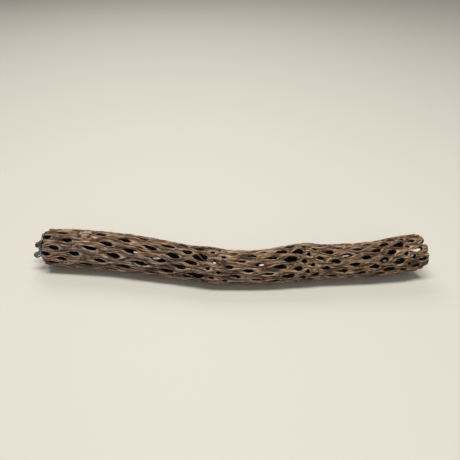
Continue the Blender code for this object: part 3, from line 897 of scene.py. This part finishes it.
def plug_mesh():
    """The turned plug, drilled off its middle for the bolt. Its frame is the bolt's."""
    hole = BOLT_RADIUS + GAP
    x, y = plug_offset()
    rings = [circle(hole, -BOLT_IN - GAP), circle(hole, 0)]
    for radius, height in (
        (PLUG_RADIUS - PLUG_EDGE, 0), (PLUG_RADIUS, -PLUG_EDGE), (PLUG_RADIUS, PLUG_CHAMFER - PLUG_LENGTH),
        (PLUG_RADIUS - PLUG_CHAMFER, -PLUG_LENGTH),
    ):
        rings.append([(px + x, py + y, pz) for px, py, pz in circle(radius, height)])
    return rings_mesh(rings)


def plug_offset():
    """Where the plug's middle lies in the bolt's frame: below the bolt by its rise."""
    tilt = math.radians(WING_TILT)
    return -BOLT_RISE * math.sin(tilt), -BOLT_RISE * math.cos(tilt)


def build_fitting(log):
    """The fitting, in a frame whose third axis is the bolt's and points out of the log."""
    middle, along, front, top = log.frame(np.array([float(LEFT_END)]))
    outward = Vector(-along[0])
    tilt = math.radians(WING_TILT)
    side = Vector(front[0]) * math.cos(tilt) + Vector(top[0]) * math.sin(tilt)
    turn = Matrix((side, outward.cross(side), outward)).transposed().to_4x4()
    frame_here = Matrix.Translation(Vector(middle[0] + top[0] * BOLT_RISE)) @ turn
    steel = steel_material("zinc_steel_dull", *DULL_STEEL)
    # The inner washer's steel is near black: painted shade for the shadowed gap against the log's end
    dark = steel_material("zinc_steel_shaded", *SHADED_STEEL)
    dress(finish_mesh("bolt_threaded", bolt_mesh(), frame_here), "log", "bolt", (steel,))
    inner = finish_mesh("washer_inner_pressed", washer_mesh(GAP), frame_here)
    dress(inner, "log", "washer_inner", (dark,))
    outer = finish_mesh("washer_outer_pressed", washer_mesh(2 * GAP + WASHER_THICK), frame_here)
    dress(outer, "outer_washer", "washer_outer", (steel,))
    dress(cast_nut(frame_here), "nut", "wing_nut", (steel,))
    plug = finish_mesh("end_plug_turned", plug_mesh(), frame_here)
    dress(plug, "log", "end_plug", (plug_material(),))


class Nodes:
    """A short way to write a node material."""

    def __init__(self, name):
        self.material = bpy.data.materials.new(name)
        self.material.use_nodes = True
        self.tree = self.material.node_tree
        self.shader = self.tree.nodes["Principled BSDF"]

    def add(self, kind, **values):
        node = self.tree.nodes.new(kind)
        for key, value in values.items():
            setattr(node, key, value)
        return node

    def link(self, source, target):
        self.tree.links.new(source, target)

    def attribute(self, name, output="Fac"):
        return self.add("ShaderNodeAttribute", attribute_name=name).outputs[output]

    def place(self):
        return self.add("ShaderNodeTexCoord").outputs["Object"]

    def noise(self, vector, scale, detail=3.0, roughness=0.55):
        node = self.add("ShaderNodeTexNoise")
        node.inputs["Scale"].default_value = scale
        node.inputs["Detail"].default_value = detail
        node.inputs["Roughness"].default_value = roughness
        self.link(vector, node.inputs["Vector"])
        return node.outputs["Fac"]

    def math(self, operation, a, b=0.0):
        node = self.add("ShaderNodeMath", operation=operation)
        for socket, value in ((node.inputs[0], a), (node.inputs[1], b)):
            if isinstance(value, bpy.types.NodeSocket):
                self.link(value, socket)
            else:
                socket.default_value = value
        return node.outputs["Value"]

    def scaled(self, value, gain, start):
        """A value times a gain, added to a start."""
        output = self.math("MULTIPLY_ADD", value, gain)
        output.node.inputs[2].default_value = start
        return output

    def lines(self, vector, scale, detail=2.0):
        """A measure that is 0 along thin winding lines and grows away from them."""
        return self.math("ABSOLUTE", self.math("SUBTRACT", self.noise(vector, scale, detail), 0.5))

    def distance(self, vector, middle, radius):
        """How far a place lies from a middle, as a share of a radius."""
        node = self.add("ShaderNodeVectorMath", operation="DISTANCE")
        self.link(vector, node.inputs[0])
        node.inputs[1].default_value = middle
        return self.math("DIVIDE", node.outputs["Value"], radius)

    def ramp(self, factor, stops):
        """Colours, or grey levels given as single numbers, at places from 0 to 1."""
        node = self.add("ShaderNodeValToRGB")
        elements = node.color_ramp.elements
        while len(elements) < len(stops):
            elements.new(0.5)
        for element, (place, colour) in zip(elements, stops):
            element.position = place
            element.color = (*colour, 1) if isinstance(colour, tuple) else (colour, colour, colour, 1)
        self.link(factor, node.inputs["Fac"])
        return node.outputs["Color"]

    def mix(self, factor, a, b):
        node = self.add("ShaderNodeMix", data_type="RGBA")
        for socket, value in ((node.inputs[0], factor), (node.inputs[6], a), (node.inputs[7], b)):
            if isinstance(value, bpy.types.NodeSocket):
                self.link(value, socket)
            elif isinstance(value, tuple):
                socket.default_value = (*value, 1)
            else:
                socket.default_value = value
        return node.outputs[2]

    def bump(self, height, strength, distance):
        node = self.add("ShaderNodeBump")
        node.inputs["Strength"].default_value = strength
        node.inputs["Distance"].default_value = distance
        self.link(height, node.inputs["Height"])
        self.link(node.outputs["Normal"], self.shader.inputs["Normal"])

    def put(self, socket, value):
        if isinstance(value, bpy.types.NodeSocket):
            self.link(value, self.shader.inputs[socket])
        else:
            self.shader.inputs[socket].default_value = value


def marked(n, log, colour, marks):
    """A colour with small round marks laid over it."""
    for s, angle, radius, strength, tint in marks:
        share = n.distance(n.place(), log.outer_point(s, angle) * MM, radius * MM)
        colour = n.mix(n.ramp(share, ((MARK_CORE, strength), (1.0, 0.0))), colour, tint)
    return colour


def wood_material(log):
    """Weathered cholla: tan and grey-brown streaks, a painted highlight on the rims, painted shade in
    cracks and furrows, and an inside painted near black as shade.
    """
    n = Nodes("cholla_wood_weathered")
    grain = n.attribute("grain", "Vector")
    place = n.place()
    across = n.add("ShaderNodeSeparateXYZ")
    n.link(place, across.inputs[0])
    streak = n.noise(grain, scale=560, detail=4, roughness=0.66)
    leftness = n.scaled(across.outputs["X"], *GREY_ALONG)
    # Painted light: the top stays tan and brighter, as lit from above, and lower down turns greyer
    height = n.scaled(across.outputs["Z"], *GREY_UP_PAINTED_LIGHT)
    patches = n.math("ADD", n.math("ADD", n.noise(place, scale=38), leftness), height)
    tan, grey = n.ramp(streak, TAN_STREAKS), n.ramp(streak, GREY_STREAKS)
    colour = n.mix(n.ramp(patches, GREY_SHARE), tan, grey)
    stains = n.noise(place, scale=70, roughness=0.6)
    colour = n.mix(n.ramp(stains, STAIN_SHARE), colour, STAIN_COLOUR)
    # Painted highlight: pale rims along the lips of the holes, where light catches their rounded edges
    colour = n.mix(n.ramp(n.attribute("edge"), RIM_HIGHLIGHT_SHARE), colour, RIM_HIGHLIGHT_COLOUR)
    colour = marked(n, log, colour, BUD_MARKS)
    # Painted shade: thin near-black lines along the grain, as the shade in fine cracks
    crack_shade = n.lines(grain, scale=400)
    colour = n.mix(n.ramp(crack_shade, CRACK_SHADE_SHARE), colour, CRACK_SHADE_COLOUR)
    # Painted shade: darker in the furrows, and in the grooves at the holes' tips and round the knot
    colour = n.mix(n.ramp(n.attribute("furrow"), FURROW_SHADE_SHARE), colour, FURROW_SHADE_COLOUR)
    knot = n.ramp(n.noise(place, scale=420), KNOT_STREAKS)
    colour = n.mix(n.attribute("knot"), colour, knot)
    colour = marked(n, log, colour, KNOT_MARKS)
    # Painted shade: the inside of the log near black
    colour = n.mix(n.ramp(n.attribute("inside"), INNER_SHADE_SHARE), colour, INNER_SHADE_COLOUR)
    n.put("Base Color", colour)
    n.put("Roughness", 0.85)
    n.put("Specular IOR Level", 0.22)
    n.bump(n.noise(grain, scale=1500, detail=4, roughness=0.6), strength=0.6, distance=0.0006)
    return n.material


def cut_material():
    """The sawn ends: browner, with short pores."""
    n = Nodes("cholla_wood_sawn")
    pores = n.noise(n.place(), scale=900, detail=4, roughness=0.6)
    n.put("Base Color", n.ramp(pores, SAWN_STREAKS))
    n.put("Roughness", 0.9)
    n.put("Specular IOR Level", 0.2)
    n.bump(pores, strength=0.6, distance=0.0004)
    return n.material


def plug_material():
    """Wood with turning marks, painted near black as the shade deep in the bore."""
    n = Nodes("plug_wood_turned")
    marks = n.noise(n.place(), scale=700, roughness=0.6)
    n.put("Base Color", n.ramp(marks, PLUG_SHADE_STREAKS))
    n.put("Roughness", 0.75)
    n.bump(marks, strength=0.4, distance=0.0003)
    return n.material


def steel_material(name, colour, roughness):
    """Dull zinc plating with a little grime."""
    n = Nodes(name)
    grime = n.noise(n.place(), scale=320, detail=4, roughness=0.6)
    worn = tuple(value * GRIME_SHADE for value in colour)
    n.put("Base Color", n.ramp(grime, tuple(zip(GRIME_STOPS, (worn, colour)))))
    n.put("Metallic", 1.0)
    n.put("Roughness", n.scaled(grime, GRIME_ROUGHNESS, roughness - GRIME_ROUGHNESS / 2))
    n.bump(n.noise(n.place(), scale=2200, detail=2), strength=0.15, distance=0.0002)
    return n.material


def floor_material():
    """A pale, smooth, plain floor."""
    n = Nodes("pale_floor")
    n.put("Base Color", FLOOR_COLOUR)
    n.put("Roughness", 0.55)
    n.put("Specular IOR Level", 0.25)
    return n.material


def lamp(name, place, aim, size, power, colour):
    """A rectangular lamp that points at its aim."""
    data = bpy.data.lights.new(name, "AREA")
    data.shape = "RECTANGLE"
    data.size, data.size_y = size
    data.energy = power
    data.color = colour
    holder = bpy.data.objects.new(name, data)
    holder.location = place
    holder.rotation_euler = (Vector(aim) - Vector(place)).to_track_quat("-Z", "Y").to_euler()
    bpy.context.scene.collection.objects.link(holder)


def floor_and_light():
    """The floor, and the soft light of the room."""
    bm = bmesh.new()
    bmesh.ops.create_grid(bm, x_segments=1, y_segments=1, size=FLOOR_HALF_WIDTH / MM)
    floor = finish_mesh("floor", bm)
    floor.data.materials.append(floor_material())
    world = bpy.data.worlds.new("soft_room")
    bpy.context.scene.world = world
    world.use_nodes = True
    back = world.node_tree.nodes["Background"]
    back.inputs["Color"].default_value = ROOM_COLOUR
    back.inputs["Strength"].default_value = ROOM_STRENGTH
    for values in LAMPS:
        lamp(*values)


def camera(log):
    """The camera, level from side to side and pitched down at the log."""
    data = bpy.data.cameras.new("camera")
    data.sensor_width = SENSOR_WIDTH
    data.lens = SENSOR_WIDTH * FOCAL_PIXELS / FRAME_PIXELS
    data.clip_start = CLIP_START
    holder = bpy.data.objects.new("camera", data)
    holder.location = Vector(np.array(CAMERA_PLACE) + log.shift) * MM
    holder.rotation_euler = (math.radians(90 - CAMERA_PITCH), 0, 0)
    bpy.context.scene.collection.objects.link(holder)
    bpy.context.scene.camera = holder


bpy.context.scene.view_settings.view_transform = "Standard"
LOG = Log()
camera(LOG)
floor_and_light()
build_wood(LOG)
build_fitting(LOG)
